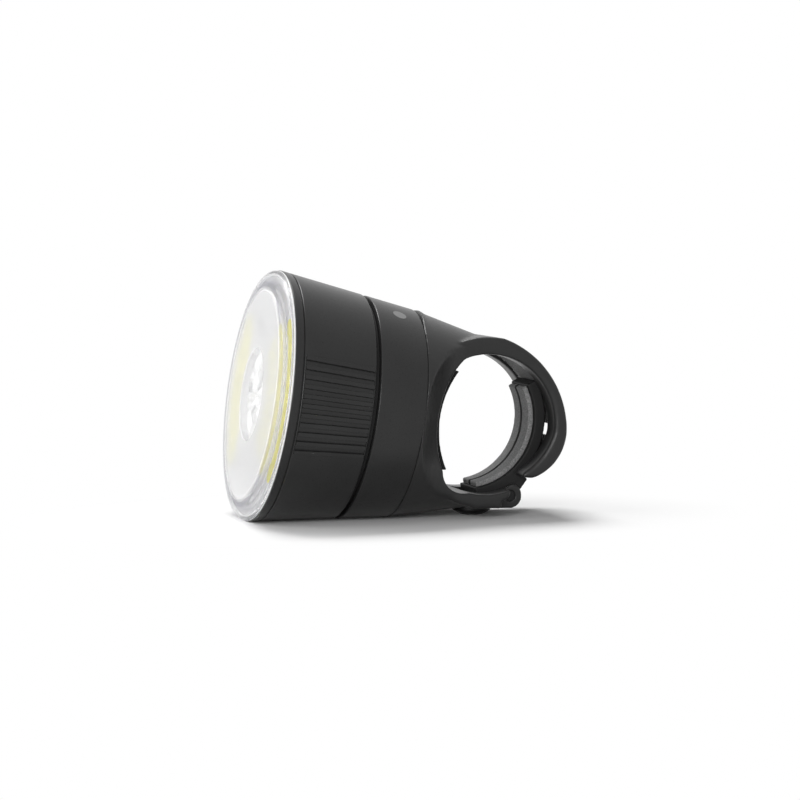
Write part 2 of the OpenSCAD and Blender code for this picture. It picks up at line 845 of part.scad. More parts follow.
// Wide band over the top and down the back, with a channel for the jaw and a slot
module strap() {
    channel_w = jaw_w + 2 * jaw_side_gap;
    color("#242528") on_clamp() difference() {
        across(clamp_w) difference() {
            strap_outer_2d(0);
            strap_inner_2d();
            translate(tail_end) rotate(tail_cut)
                translate([-ring_r, -ring_r]) square([ring_r, ring_r + tail_trim]);
            translate(tail_end) translate([-ring_r, -2 * ring_r]) square(2 * ring_r);
        }
        across(channel_w) strap_outer_2d(strap_wall);
        across(channel_w) translate([0, tail_open - ring_r]) square(ring_r);
        translate([-slot_w / 2, ring_r / 2, slot_z - slot_h / 2]) cube([slot_w, ring_r, slot_h]);
    }
}

// Side view of an arc of the jaw
module jaw_arc_2d(r_in, r_out, from, to) {
    intersection() {
        translate(jaw_c) difference() {
            circle(r_out);
            circle(r_in);
        }
        sector(jaw_c, 2 * r_out, from, to);
    }
}

// Side view of the carrier's arc, which clears the strap
module carrier_2d() {
    intersection() {
        jaw_arc_2d(jaw_r + jaw_pad_t, jaw_out, jaw_low, jaw_high);
        translate(ring_c) circle(ring_r - strap_wall - jaw_back_gap);
    }
}

// Side view of the lug between the carrier's arc and its knuckle
module lug_2d() {
    lug_r = jaw_r + jaw_pad_t + jaw_t / 2;
    polygon([
        jaw_c + lug_r * [cos(lug_low), sin(lug_low)], jaw_c + lug_r * [cos(lug_high), sin(lug_high)],
        pin_p + lug_back[0], pin_p + lug_back[1], pin_p + lug_foot
    ]);
}

// Curved carrier that swings on the hinge pin
module jaw() {
    color("#1d1e20") on_clamp() difference() {
        union() {
            across(jaw_w) carrier_2d();
            across(jaw_w) translate(pin_p) circle(knuckle_r);
            across(jaw_w - lug_inset) lug_2d();
        }
        across(2 * jaw_w) translate(jaw_c) circle(jaw_r + jaw_pad_t);
        translate([0, pin_p[0], pin_p[1]]) rotate([0, 90, 0])
            cylinder(r = pin_r + pin_clearance, h = 2 * clamp_w, center = true);
    }
}

// One rubber strip on the jaw
module jaw_pad(side) {
    w = jaw_w / 2 - jaw_edge - pad_groove / 2;
    color("#6f7072") on_clamp() translate([side * (pad_groove + w) / 2, 0, 0])
        across(w) jaw_arc_2d(jaw_r, jaw_r + jaw_pad_t, pad_low, pad_high);
}

// Rubber strip on the far side
module jaw_pad_left() {
    jaw_pad(-1);
}

// Rubber strip on the near side
module jaw_pad_right() {
    jaw_pad(1);
}

lens_cover();
reflector();
cob_strips();
collimator();
spot_led();
led_board();
heat_sink();
bezel();
lens_seal();
body_shell();
control_board();
battery();
battery_cradle();
case_screws();
rear_bulkhead();
plug_neck();
plug_cup();
plug_seal();
retaining_ring();
plug_magnets();
charge_port();
port_board();
dock_cup();
index_dot();
dock_plate();
dock_screws();
clamp_base();
saddle_pad();
hinge_pin();
clamp_screw();
clamp_nut();
strap();
jaw();
jaw_pad_left();
jaw_pad_right();
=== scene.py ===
"""Bike headlight on a handlebar clamp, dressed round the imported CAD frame.

Lengths are in metres, in the frame of the CAD model: the handlebar runs along X through the origin, and the
beam points along -Y, tipped up a little because the light lies on its lens rim and on its screw head.
"""

import json
import math

import bmesh
import bpy
import numpy as np
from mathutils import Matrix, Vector


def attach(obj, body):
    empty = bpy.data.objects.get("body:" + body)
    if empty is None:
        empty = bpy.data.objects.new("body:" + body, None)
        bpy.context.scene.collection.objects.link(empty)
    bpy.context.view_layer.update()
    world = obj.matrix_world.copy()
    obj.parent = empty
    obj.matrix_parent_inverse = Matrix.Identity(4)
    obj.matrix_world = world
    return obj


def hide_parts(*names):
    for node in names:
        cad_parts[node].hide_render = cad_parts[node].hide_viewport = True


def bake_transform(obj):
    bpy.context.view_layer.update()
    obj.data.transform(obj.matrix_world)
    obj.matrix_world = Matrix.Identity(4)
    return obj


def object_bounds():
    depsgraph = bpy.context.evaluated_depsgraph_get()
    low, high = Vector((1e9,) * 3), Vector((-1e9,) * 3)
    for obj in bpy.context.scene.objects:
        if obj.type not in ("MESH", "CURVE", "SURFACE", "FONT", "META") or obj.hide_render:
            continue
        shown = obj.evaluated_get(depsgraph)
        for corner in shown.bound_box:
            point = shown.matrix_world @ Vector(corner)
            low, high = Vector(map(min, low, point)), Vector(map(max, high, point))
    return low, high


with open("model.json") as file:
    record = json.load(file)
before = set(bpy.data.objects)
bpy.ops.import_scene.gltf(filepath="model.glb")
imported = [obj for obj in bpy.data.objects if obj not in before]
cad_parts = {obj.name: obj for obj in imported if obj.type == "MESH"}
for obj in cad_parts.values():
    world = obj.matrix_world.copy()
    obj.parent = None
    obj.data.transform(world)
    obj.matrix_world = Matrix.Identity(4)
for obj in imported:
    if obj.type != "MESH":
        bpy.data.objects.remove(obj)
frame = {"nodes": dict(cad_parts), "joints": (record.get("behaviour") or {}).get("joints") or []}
cad_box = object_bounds()
NODES = frame["nodes"]
MM = 0.001

# The light's own axes: along the beam, across it and up from it
JOINTS = {joint["name"]: joint for joint in frame["joints"]}
BEAM = Vector(JOINTS["head_pull"]["axis"]).normalized()
ACROSS = Vector((1, 0, 0))
RISE = BEAM.cross(ACROSS)

# Clamp coordinates: x across, y backward along the beam axis, z above it
TO_CLAMP = np.array([ACROSS, -BEAM, RISE])
STRAP_ROOT = TO_CLAMP @ np.array(JOINTS["strap_lift"]["pos_m"])
HINGE_PIN = TO_CLAMP @ np.array(JOINTS["jaw_open"]["pos_m"])

# Smoothness of round pieces, and the angle in degrees above which an edge stays sharp
SEGMENTS = 256
CORNER_STEPS = 5
SHARP_ANGLE = 35

# Lengths that count as none
ON_AXIS = 0.001 * MM
SAME_STATION = 0.05 * MM

# Turns round the beam to the light's near and far side
SIDES = (0, math.pi)


def beam_point(r, turn, u):
    """Place at radius r, turned from the near side towards the top, u ahead of the handlebar."""
    return BEAM * u + (ACROSS * math.cos(turn) + RISE * math.sin(turn)) * r


def clamp_point(x, y, z):
    """Place given in clamp coordinates."""
    return ACROSS * x - BEAM * y + RISE * z


def spoke(place):
    """The part of a place that lies off the beam axis."""
    return place - BEAM * place.dot(BEAM)


def mesh_places(mesh):
    """Vertex places, one row each."""
    places = np.empty(len(mesh.vertices) * 3)
    mesh.vertices.foreach_get("co", places)
    return places.reshape(-1, 3)


def clamp_places(mesh):
    """Vertex places in clamp coordinates, one row each."""
    return mesh_places(mesh) @ TO_CLAMP.T


def stations(node):
    """(distances ahead of the bar, radii round the beam axis) of a CAD node's vertices."""
    places = mesh_places(NODES[node].data)
    ahead = places @ np.array(BEAM)
    return ahead, np.linalg.norm(places - ahead[:, None] * np.array(BEAM), axis=1)


def ends(node):
    """(back station, radius there, front station, radius there) of a round CAD node."""
    ahead, radii = stations(node)
    back, front = ahead.min(), ahead.max()
    return back, radii[ahead < back + SAME_STATION].max(), front, radii[ahead > front - SAME_STATION].max()


def linked(name, data):
    """A new object in the scene."""
    obj = bpy.data.objects.new(name, data)
    bpy.context.scene.collection.objects.link(obj)
    return obj


def new_object(name, mesh, material, body):
    """A new object with one material, which rides on a body if one is named."""
    obj = linked(name, mesh)
    mesh.materials.clear()
    mesh.materials.append(material)
    if body:
        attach(obj, body)
    return obj


def add_material(mesh, material):
    """Adds a further material to a mesh and returns its index."""
    mesh.materials.append(material)
    return len(mesh.materials) - 1


def rounded(points, radii):
    """A closed outline with its corners rounded, each by its own radius."""
    out = []
    for i, radius in enumerate(radii):
        here = Vector(points[i])
        if radius <= 0:
            out.append(tuple(here))
            continue
        before = (Vector(points[i - 1]) - here).normalized()
        after = (Vector(points[(i + 1) % len(points)]) - here).normalized()
        half = before.angle(after) / 2
        reach = radius / math.tan(half)
        start, end = here + before * reach, here + after * reach
        centre = here + (before + after).normalized() * (radius / math.sin(half))
        first, last = start - centre, end - centre
        from_turn = math.atan2(first.y, first.x)
        sweep = (math.atan2(last.y, last.x) - from_turn + math.pi) % math.tau - math.pi
        for k in range(CORNER_STEPS + 1):
            turn = from_turn + sweep * k / CORNER_STEPS
            out.append((centre.x + radius * math.cos(turn), centre.y + radius * math.sin(turn)))
    return out


def bridge(bm, first, second):
    """Adds a band of faces between two closed loops of vertices, either of which may be one vertex."""
    for k in range(max(len(first), len(second))):
        corners = [first[k % len(first)], first[(k + 1) % len(first)],
                   second[(k + 1) % len(second)], second[k % len(second)]]
        corners = list(dict.fromkeys(corners))
        if len(corners) > 2:
            bm.faces.new(corners)


def solid(name, bm, angle=SHARP_ANGLE):
    """The mesh of a closed form, facing outward, smooth but for edges sharper than the angle."""
    bmesh.ops.recalc_face_normals(bm, faces=bm.faces)
    mesh = bpy.data.meshes.new(name)
    bm.to_mesh(mesh)
    bm.free()
    mesh.shade_smooth()
    mesh.set_sharp_from_angle(angle=math.radians(angle))
    return mesh


def lathe(name, outline, segments=SEGMENTS):
    """A closed ring from an outline of (radius, station) points, turned round the beam axis."""
    bm = bmesh.new()
    rings = []
    for r, u in outline:
        count = 1 if r < ON_AXIS else segments
        rings.append([bm.verts.new(beam_point(r, math.tau * k / segments, u)) for k in range(count)])
    for a, b in zip(rings, rings[1:] + rings[:1]):
        bridge(bm, a, b)
    return solid(name, bm)


# Stations along the beam and radii, from the CAD nodes

SHELL_BACK, SHELL_BACK_R, SHELL_FRONT, SHELL_FRONT_R = ends("body_shell")
SHELL_SLOPE = (SHELL_FRONT_R - SHELL_BACK_R) / (SHELL_FRONT - SHELL_BACK)
_, _, RIM_AT, RIM_R = ends("bezel")
LENS_BACK, LENS_R, LENS_FRONT, FACE_R = ends("lens_cover")
DOCK_BACK, DOCK_BACK_R, DOCK_FRONT, DOCK_FRONT_R = ends("dock_cup")
DOCK_SLOPE = (DOCK_FRONT_R - DOCK_BACK_R) / (DOCK_FRONT - DOCK_BACK)
BOARD_FRONT = ends("reflector")[0]
OPTIC_R = stations("collimator")[1].max()

# The lens: the fine step round its face, its seat, its walls and the fine rings behind its face
LENS_STEP_R = min(0.835 * RIM_R, FACE_R - 0.4 * MM)
LENS_SEAT = 0.02 * MM
LENS_LIP = 0.1 * MM
LENS_WALL = 1.6 * MM
LENS_FACE_WALL = 0.8 * MM
LENS_RING_PITCH = 0.6 * MM
LENS_RING_SHARE = 0.9
LENS_RING_DEPTH = 0.04 * MM

# Materials: noise scales are in cycles per metre


def new_material(name):
    """(material, its node tree, its Principled shader)."""
    material = bpy.data.materials.new(name)
    material.use_nodes = True
    tree = material.node_tree
    return material, tree, tree.nodes["Principled BSDF"]


def feed(tree, socket, value):
    """Links an input to a source, or sets it to a constant."""
    if isinstance(value, bpy.types.NodeSocket):
        tree.links.new(value, socket)
    else:
        socket.default_value = value


def object_place(tree):
    """Object coordinates as a node output."""
    return tree.nodes.new("ShaderNodeTexCoord").outputs["Object"]


def object_noise(tree, scale, detail=2.0, roughness=0.5):
    """A noise texture in object coordinates."""
    noise = tree.nodes.new("ShaderNodeTexNoise")
    noise.inputs["Scale"].default_value = scale
    noise.inputs["Detail"].default_value = detail
    noise.inputs["Roughness"].default_value = roughness
    tree.links.new(object_place(tree), noise.inputs["Vector"])
    return noise.outputs["Fac"]


def ramp(tree, source, stops):
    """A colour ramp on a source, from (position, colour) stops."""
    node = tree.nodes.new("ShaderNodeValToRGB")
    elements = node.color_ramp.elements
    while len(elements) < len(stops):
        elements.new(0.5)
    for element, (position, colour) in zip(elements, stops):
        element.position = position
        element.color = (*colour, 1)
    tree.links.new(source, node.inputs["Fac"])
    return node.outputs["Color"]


def two_tone(tree, source, dark, light, inset=0.3):
    """A colour ramp between two tones, level for an inset at each end."""
    return ramp(tree, source, [(inset, dark), (1 - inset, light)])


def math_node(tree, operation, *values):
    """A math node on sources and numbers."""
    node = tree.nodes.new("ShaderNodeMath")
    node.operation = operation
    for socket, value in zip(node.inputs, values):
        feed(tree, socket, value)
    return node.outputs["Value"]


def vector_math(tree, operation, *values):
    """A vector math node on sources and constants."""
    node = tree.nodes.new("ShaderNodeVectorMath")
    node.operation = operation
    for socket, value in zip(node.inputs, values):
        feed(tree, socket, value)
    return node.outputs["Value" if operation == "LENGTH" else "Vector"]


def mix_colours(tree, share, first, second, kind="MIX"):
    """Two colours mixed by a share of the second, in a blend mode."""
    node = tree.nodes.new("ShaderNodeMix")
    node.data_type = "RGBA"
    node.blend_type = kind
    for socket, value in (("Factor", share), ("A", first), ("B", second)):
        feed(tree, node.inputs[socket], value)
    return node.outputs["Result"]


def mix_shaders(tree, share, first, second):
    """Two shaders mixed by a share of the second."""
    node = tree.nodes.new("ShaderNodeMixShader")
    for socket, value in zip(node.inputs, (share, first, second)):
        tree.links.new(value, socket)
    return node.outputs["Shader"]


def bump(tree, shader, height, depth):
    """Bumps a shader by a height source, with depth in metres."""
    node = tree.nodes.new("ShaderNodeBump")
    node.inputs["Distance"].default_value = depth
    tree.links.new(height, node.inputs["Height"])
    tree.links.new(node.outputs["Normal"], shader.inputs["Normal"])


def grey(level):
    """A neutral colour."""
    return (level, level, level)


def moulded(name, dark, light, roughness, grain, depth, specular=0.5):
    """Matte moulded plastic or rubber: a soft drift of tone, a fine grain of some depth and uneven gloss."""
    material, tree, shader = new_material(name)
    drift = object_noise(tree, scale=90, detail=3)
    tree.links.new(two_tone(tree, drift, dark, light), shader.inputs["Base Color"])
    fine = object_noise(tree, grain, detail=3, roughness=0.6)
    low, high = roughness
    tree.links.new(two_tone(tree, fine, grey(low), grey(high), inset=0.35), shader.inputs["Roughness"])
    shader.inputs["Specular IOR Level"].default_value = specular
    bump(tree, shader, fine, depth)
    return material


CASING = moulded("casing_plastic", grey(0.017), grey(0.021), (0.27, 0.35), 4200, 0.010 * MM, 0.25)
BEZEL = moulded("bezel_plastic", grey(0.017), grey(0.020), (0.27, 0.35), 4200, 0.010 * MM, 0.25)
RUBBER = moulded("strap_rubber", grey(0.019), grey(0.023), (0.30, 0.40), 3600, 0.012 * MM, 0.25)
INNER = moulded("inner_plastic", grey(0.017), grey(0.021), (0.50, 0.62), 3200, 0.012 * MM, 0.12)
# Dark rubber of the saddle, also used as painted shade in the gap between the jaw pads
SADDLE_RUBBER_AND_GAP_SHADE = moulded("saddle_rubber_and_gap_shade", grey(0.016), grey(0.022), (0.60, 0.75), 2600, 0.020 * MM, 0.12)
BOARD = moulded("board_green", (0.018, 0.11, 0.05), (0.028, 0.15, 0.07), (0.30, 0.42), 1500, 0.010 * MM)
CELL = moulded("cell_sleeve", (0.05, 0.12, 0.26), (0.07, 0.16, 0.32), (0.28, 0.36), 900, 0.006 * MM)
SEAL = moulded("seal_rubber", grey(0.018), grey(0.026), (0.55, 0.68), 2600, 0.010 * MM)
WHITE = moulded("tray_white", grey(0.80), grey(0.84), (0.30, 0.40), 1200, 0.004 * MM)
BOARD_WHITE = moulded("board_white", grey(0.78), grey(0.82), (0.35, 0.45), 1200, 0.004 * MM)
PHOSPHOR = moulded("phosphor_gel", (0.80, 0.74, 0.05), (0.86, 0.81, 0.10), (0.35, 0.50), 1400, 0.030 * MM)
DOT = moulded("index_print", grey(0.19), grey(0.23), (0.45, 0.60), 5200, 0.008 * MM, 0.2)


def granular_rubber(name, tones):
    """Rough rubber with a fine salt-and-pepper grain between three tones."""
    material, tree, shader = new_material(name)
    grain = object_noise(tree, scale=3000, detail=4, roughness=0.75)
    stops = [(place, grey(tone)) for place, tone in zip((0.32, 0.5, 0.68), tones)]
    tree.links.new(ramp(tree, grain, stops), shader.inputs["Base Color"])
    shader.inputs["Roughness"].default_value = 0.85
    shader.inputs["Specular IOR Level"].default_value = 0.25
    bump(tree, shader, grain, depth=0.05 * MM)
    return material


PAD_GREY = granular_rubber("pad_rubber", (0.12, 0.21, 0.33))
CHANNEL_GREY = granular_rubber("channel_rubber", (0.14, 0.24, 0.36))


def metal(name, dark, light, roughness):
    """Bare or blackened metal with a fine unevenness of tone and gloss."""
    material, tree, shader = new_material(name)
    fine = object_noise(tree, scale=2400, detail=3, roughness=0.6)
    tree.links.new(two_tone(tree, fine, dark, light), shader.inputs["Base Color"])
    low, high = roughness
    tree.links.new(two_tone(tree, fine, grey(low), grey(high)), shader.inputs["Roughness"])
    shader.inputs["Metallic"].default_value = 1.0
    bump(tree, shader, fine, depth=0.004 * MM)
    return material


STEEL = metal("plain_steel", grey(0.50), grey(0.60), (0.25, 0.38))
BLACK_STEEL = metal("black_steel", grey(0.020), grey(0.028), (0.35, 0.5))
NICKEL = metal("nickel", grey(0.60), grey(0.68), (0.15, 0.25))
ALUMINIUM = metal("aluminium", grey(0.62), grey(0.70), (0.28, 0.4))

# Clear plastics: how much lamp light they let through, how they refract, and the gloss of the lens
LAMP_THROUGH = (0.6, 0.6, 0.61)
LENS_IOR = 1.12
LENS_COAT = 0.06
LENS_COAT_BLUR = 0.06
OPTIC_IOR = 1.3
OPTIC_CLEAR = 0.15


def clear_plastic(name, ior, weight):
    """(material, tree, shader) of a clear plastic that lets lamp light through to what is behind it."""
    material, tree, shader = new_material(name)
    shader.inputs["Transmission Weight"].default_value = weight
    shader.inputs["IOR"].default_value = ior
    through = tree.nodes.new("ShaderNodeBsdfTransparent")
    through.inputs["Color"].default_value = (*LAMP_THROUGH, 1)
    path = tree.nodes.new("ShaderNodeLightPath")
    mix = mix_shaders(tree, path.outputs["Is Shadow Ray"], shader.outputs["BSDF"], through.outputs["BSDF"])
    tree.links.new(mix, tree.nodes["Material Output"].inputs["Surface"])
    return material, tree, shader


def lens_plastic(name, weight, blur, tones, ringed=False):
    """Clear lens plastic whose tone, painted highlights and shade among it, follows the share of the lens
    radius, with painted shade lines along its fine rings if wanted.
    """
    material, tree, shader = clear_plastic(name, LENS_IOR, weight)
    radius = vector_math(tree, "LENGTH", vector_math(tree, "CROSS_PRODUCT", object_place(tree), BEAM))
    colour = ramp(tree, math_node(tree, "DIVIDE", radius, LENS_R), tones)
    if ringed:
        # Thin darker lines at the ring pitch: painted shade of the fine ring grooves
        wave = math_node(tree, "SINE", math_node(tree, "MULTIPLY", radius, math.tau / LENS_RING_PITCH))
        level = math_node(tree, "MULTIPLY_ADD", wave, 0.5, 0.5)
        ring_shade = ramp(tree, level, [(0.2, grey(1.0)), (0.95, grey(0.88))])
        colour = mix_colours(tree, 1.0, colour, ring_shade, "MULTIPLY")
    tree.links.new(colour, shader.inputs["Base Color"])
    haze = two_tone(tree, object_noise(tree, scale=300), grey(0.8 * blur), grey(blur))
    tree.links.new(haze, shader.inputs["Roughness"])
    shader.inputs["Coat Weight"].default_value = LENS_COAT
    shader.inputs["Coat Roughness"].default_value = LENS_COAT_BLUR
    return material


def optic_plastic(name, level):
    """Clear plastic of one kind of facet on the centre optic, at one level of painted brightness that stands
    in for refraction of what lies round it.
    """
    material, tree, shader = clear_plastic(name, OPTIC_IOR, OPTIC_CLEAR)
    cloud = object_noise(tree, scale=500)
    tree.links.new(two_tone(tree, cloud, grey(0.85 * level), grey(level)), shader.inputs["Base Color"])
    tree.links.new(two_tone(tree, cloud, grey(0.02), grey(0.08)), shader.inputs["Roughness"])
    return material


# The lens is clearest over the optic and frosted over the strips; its tones add a painted highlight line at
# each side of the step, painted shade in a grey, faintly lilac band on the shoulder and a painted highlight
# at the rim
STEP_SHARE = LENS_STEP_R / LENS_R
# Shares of the lens radius from the step: within the first lies the painted highlight line, beyond the
# second the painted shade
STEP_HIGHLIGHT = 0.012
STEP_SHADE = 0.03
LENS_WINDOW = lens_plastic("lens_window", 0.92, 0.02, [(0.0, grey(0.94)), (1.0, grey(0.92))])
# Milky disc, lighter towards the step in a painted highlight line
LENS_DISC = lens_plastic("lens_disc", 0.66, 0.22, [
    (0.0, grey(0.86)), (STEP_SHARE - STEP_SHADE, grey(0.84)), (STEP_SHARE - STEP_HIGHLIGHT, grey(0.94)),
    (1.0, grey(0.88))], ringed=True)
# Shoulder: painted highlight at the step, a band of painted shade, paler painted shade, then a painted
# highlight at the rim
LENS_SHOULDER = lens_plastic("lens_shoulder", 0.90, 0.12, [
    (STEP_SHARE + STEP_HIGHLIGHT, grey(0.80)), (STEP_SHARE + STEP_SHADE, (0.40, 0.40, 0.43)),
    (0.895, (0.42, 0.42, 0.45)), (0.92, (0.62, 0.62, 0.64)), (0.965, grey(0.64)), (0.985, grey(0.80)),
    (1.0, grey(0.84))])
# Bright, mid and grey levels of painted refraction for the optic's facets
OPTIC_REFRACTION_PAINTS = [
    optic_plastic("optic_painted_bright", 0.84), optic_plastic("optic_painted_mid", 0.66), optic_plastic("optic_painted_grey", 0.40)]

# Light head

WALL = 2.0 * MM
SEAM_ROUND = 0.3 * MM

# Grip ribs, and how finely the casing is divided over and between them and towards its ends
RIB_COUNT = 11
RIB_PITCH = math.radians(4.3)
RIB_HALF = 0.6 * MM
RIB_EDGE = 0.14 * MM
RIB_HEIGHT = 0.4 * MM
RIB_GROOVE = 0.25 * MM
RIB_MARGIN = 0.1 * MM
RIB_STEPS = 800
PLAIN_STEPS = 120
END_SHARE = 0.1
END_ROWS = 12
MIDDLE_ROWS = 9
RIB_SHARP_ANGLE = 50


def soft_step(x, edge):
    """0 below 0, 1 above the edge, smooth between."""
    t = np.clip(x / edge, 0, 1)
    return t * t * (3 - 2 * t)


def rib_height(turn, u):
    """Height of the grip ribs above the casing, below it in the grooves between them."""
    radius = SHELL_BACK_R + (u - SHELL_BACK) * SHELL_SLOPE
    middle = (RIB_COUNT - 1) / 2
    height = 0.0
    for side in SIDES:
        off = (turn - side + math.pi) % math.tau - math.pi
        index = min(max(round(off / RIB_PITCH + middle), 0), RIB_COUNT - 1)
        aside = abs(off - (index - middle) * RIB_PITCH) * radius
        if aside < RIB_PITCH / 2 * radius:
            floor = -RIB_GROOVE if abs(off) < middle * RIB_PITCH else 0.0
            height = floor + (RIB_HEIGHT - floor) * float(soft_step(RIB_HALF - aside, RIB_EDGE))
    inside = min(u - SHELL_BACK, SHELL_FRONT - u) - RIB_MARGIN
    return height * float(soft_step(inside + RIB_EDGE, 2 * RIB_EDGE))


def rib_turns():
    """Angles round the casing, close together over the ribs."""
    half = (RIB_COUNT + 1) / 2 * RIB_PITCH
    turns = []
    for side in SIDES:
        turns += [side + half * (2 * k / RIB_STEPS - 1) for k in range(RIB_STEPS + 1)]
        turns += [side + half + (math.pi - 2 * half) * k / PLAIN_STEPS for k in range(1, PLAIN_STEPS)]
    return turns


def make_shell():
    """Tapered casing with rounded ends and two rows of grip ribs."""
    front_in, back_in = SHELL_FRONT_R - WALL, SHELL_BACK_R - 2 * WALL
    outline = rounded(
        [(back_in, SHELL_BACK), (SHELL_BACK_R, SHELL_BACK),
         (SHELL_FRONT_R, SHELL_FRONT), (front_in, SHELL_FRONT)],
        [0, SEAM_ROUND, SEAM_ROUND, 0],
    )
    split = CORNER_STEPS + 2
    shares = np.unique(np.concatenate([
        np.linspace(0, END_SHARE, END_ROWS), np.linspace(END_SHARE, 1 - END_SHARE, MIDDLE_ROWS),
        np.linspace(1 - END_SHARE, 1, END_ROWS)]))[1:-1]
    start, end = Vector(outline[split - 1]), Vector(outline[split])
    outline = outline[:split] + [tuple(start.lerp(end, t)) for t in shares] + outline[split:]
    turns = rib_turns()
    bm = bmesh.new()
    rings = []
    for i, (r, u) in enumerate(outline):
        ribbed = split <= i < split + len(shares)
        rises = [rib_height(turn, u) if ribbed else 0.0 for turn in turns]
        rings.append([bm.verts.new(beam_point(r + rise, turn, u)) for turn, rise in zip(turns, rises)])
    for a, b in zip(rings, rings[1:] + rings[:1]):
        bridge(bm, a, b)
    obj = new_object("casing", solid("casing", bm, RIB_SHARP_ANGLE), CASING, "head")
    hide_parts("body_shell")


def make_bezel():
    """Ring between casing and lens, with rounded edges and a fine groove at the casing."""
    groove, depth, edge = 0.25 * MM, 0.45 * MM, 0.2 * MM
    hole = LENS_R - 2.6 * MM
    groove_r = SHELL_FRONT_R - depth
    seat, seat_r = SHELL_FRONT + groove, SHELL_FRONT_R + groove * SHELL_SLOPE
    outline = rounded(
        [(hole, SHELL_FRONT), (groove_r, SHELL_FRONT), (groove_r, seat), (seat_r, seat),
         (RIM_R, RIM_AT), (hole, RIM_AT)],
        [0, 0, 0, edge, edge, 0],
    )
    obj = new_object("bezel_ring", lathe("bezel_ring", outline), BEZEL, "head")
    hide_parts("bezel")


def make_lens():
    """Clear lens: a flat face with fine rings behind it, a fine step and a rounded shoulder."""
    arc = [math.radians(a) for a in range(0, 91, 6)]
    shoulder, drop = LENS_R - FACE_R, LENS_FRONT - LENS_BACK - LENS_LIP
    outline = [(LENS_R, LENS_BACK + LENS_SEAT)]
    outline += [(FACE_R + shoulder * math.cos(a), LENS_BACK + LENS_LIP + drop * math.sin(a)) for a in arc]
    wide, narrow, floor = 0.35 * MM, 0.1 * MM, LENS_FRONT - 0.18 * MM
    outline += [(LENS_STEP_R + wide, LENS_FRONT), (LENS_STEP_R + narrow, floor),
                (LENS_STEP_R - narrow, floor), (LENS_STEP_R - wide, LENS_FRONT)]
    face_back = LENS_FRONT - LENS_FACE_WALL
    outline += [(OPTIC_R, LENS_FRONT), (0, LENS_FRONT), (0, face_back), (OPTIC_R, face_back)]
    r = OPTIC_R + LENS_RING_PITCH
    while r < LENS_STEP_R - LENS_RING_PITCH:
        outline += [(r, face_back), (r + LENS_RING_SHARE * LENS_RING_PITCH, face_back + LENS_RING_DEPTH)]
        r += LENS_RING_PITCH
    outline += [(LENS_STEP_R - 0.3 * MM, face_back), (LENS_STEP_R, LENS_FRONT - LENS_WALL)]
    hollow, rise, seat = shoulder - LENS_WALL, LENS_FRONT - LENS_BACK - LENS_WALL, LENS_BACK + LENS_SEAT
    outline += [(FACE_R + hollow * math.cos(a), seat + rise * math.sin(a)) for a in reversed(arc)]
    mesh = lathe("lens", outline)
    obj = new_object("lens", mesh, LENS_DISC, "head")
    window, edge = add_material(mesh, LENS_WINDOW), add_material(mesh, LENS_SHOULDER)
    for face in mesh.polygons:
        r = spoke(face.center).length
        face.material_index = window if r < OPTIC_R else edge if r > LENS_STEP_R else 0
    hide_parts("lens_cover")


def make_tray():
    """White tray with a rounded rim that shows behind the lens."""
    foot, mouth, wall = 24.2 * MM, LENS_R - 3.5 * MM, 0.8 * MM
    rim_edge, mouth_edge, back_edge = 0.12 * MM, 0.3 * MM, 0.2 * MM
    outline = rounded(
        [(LENS_R, RIM_AT), (LENS_R, LENS_BACK), (mouth, LENS_BACK), (foot, BOARD_FRONT),
         (foot + wall, BOARD_FRONT), (mouth + wall, RIM_AT)],
        [rim_edge, rim_edge, mouth_edge, 0, 0, back_edge],
    )
    obj = new_object("tray", lathe("tray", outline), WHITE, "head")
    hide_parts("reflector")


def make_phosphor():
    """Two strips of poured phosphor gel, humped close behind the lens, with a lip on the tray's flange."""
    widened, hump, hump_slope, hump_edge = 0.6 * MM, 6.6 * MM, 0.8 * MM, 0.5 * MM
    behind_lens, lip_in, above_flange = 0.08 * MM, 1.75 * MM, 0.03 * MM
    lip_end, lip_root = 0.12 * MM, 0.2 * MM
    steps, taper, least = 80, 0.15, 0.001
    facing = 0.6
    ahead, radii = stations("cob_strips")
    inner, outer, base = radii.min() - widened, radii.max(), ahead.min()
    foot = radii[ahead < base + SAME_STATION].max()
    hump_r, top = inner + hump, LENS_FRONT - LENS_FACE_WALL - behind_lens
    lip_r, lip = LENS_R - lip_in, LENS_BACK + above_flange
    outline = rounded(
        [(inner, base), (foot, base), (outer, lip), (lip_r, lip), (lip_r, lip + lip_end),
         (outer, lip + lip_root), (hump_r + hump_slope, lip), (hump_r, top), (inner, top)],
        [0, 0, 0, 0, 0, 0, 0, hump_edge, hump_edge],
    )
    places = mesh_places(NODES["cob_strips"].data)
    span = np.abs(np.arctan2(places @ np.array(RISE), np.abs(places[:, 0]))).max()
    middle_r, middle_u = np.mean(outline, axis=0)
    bm = bmesh.new()
    for side in SIDES:
        rows = []
        for k in range(steps + 1):
            t = 2 * k / steps - 1
            size = math.sqrt(max(least, 1 - (max(0, abs(t) - 1 + taper) / taper) ** 2))
            rows.append([bm.verts.new(beam_point(middle_r + (r - middle_r) * size, side + span * t,
                                                 middle_u + (u - middle_u) * size)) for r, u in outline])
        for a, b in zip(rows, rows[1:]):
            bridge(bm, a, b)
        bm.faces.new(rows[0])
        bm.faces.new(rows[-1])
    mesh = solid("phosphor", bm)
    obj = new_object("phosphor", mesh, PHOSPHOR, "head")
    dam = add_material(mesh, BOARD_WHITE)
    for face in mesh.polygons:
        if face.normal.dot(BEAM) < facing:
            face.material_index = dam
    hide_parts("cob_strips")


# Centre optic: (outer share of its radius, number of pyramids) of each ring, and the order in which the
# pyramids go through three levels of painted refraction
OPTIC_TURNS = 96
OPTIC_RINGS = ((0.30, 8), (0.64, 16), (0.97, 24))
OPTIC_PATTERN = (0, 1, 0, 2, 0, 1, 1, 0)
OPTIC_STRIDES = (3, 5)
OPTIC_SHARP_ANGLE = 12


